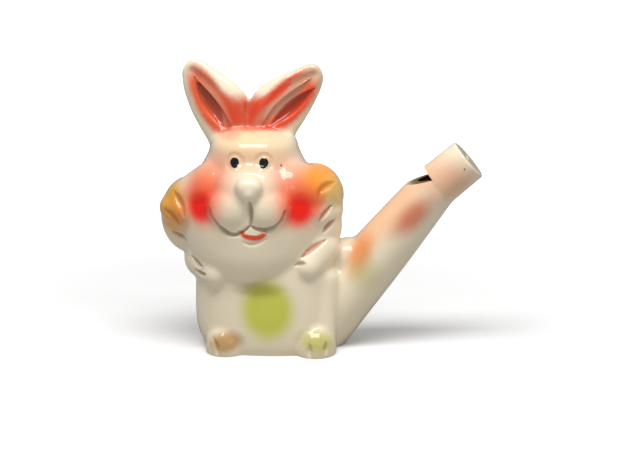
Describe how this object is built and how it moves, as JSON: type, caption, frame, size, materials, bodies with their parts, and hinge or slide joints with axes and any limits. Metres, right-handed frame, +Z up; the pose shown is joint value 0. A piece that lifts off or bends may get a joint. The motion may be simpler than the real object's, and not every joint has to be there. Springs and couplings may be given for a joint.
{
  "type": "ceramic rabbit whistle",
  "caption": "Hollow slip-cast ceramic whistle: a sitting rabbit with a slanting side pipe, a slotted mouthpiece over a window with a blade, and a water filling hole in its back.",
  "frame": {"origin": "middle of the flat sole, under the middle of the torso", "axes": "+Z up from the sole; +X towards the pipe, which leaves the rabbit's left flank; the face looks along -Y"},
  "size_m": [0.0798, 0.0322, 0.0714],
  "materials": {
    "glaze": "glossy cream glaze with airbrushed red, orange, coral and yellow-green patches"
  },
  "bodies": {
    "root": {"rabbit_whistle": "glaze"}
  },
  "joints": []
}
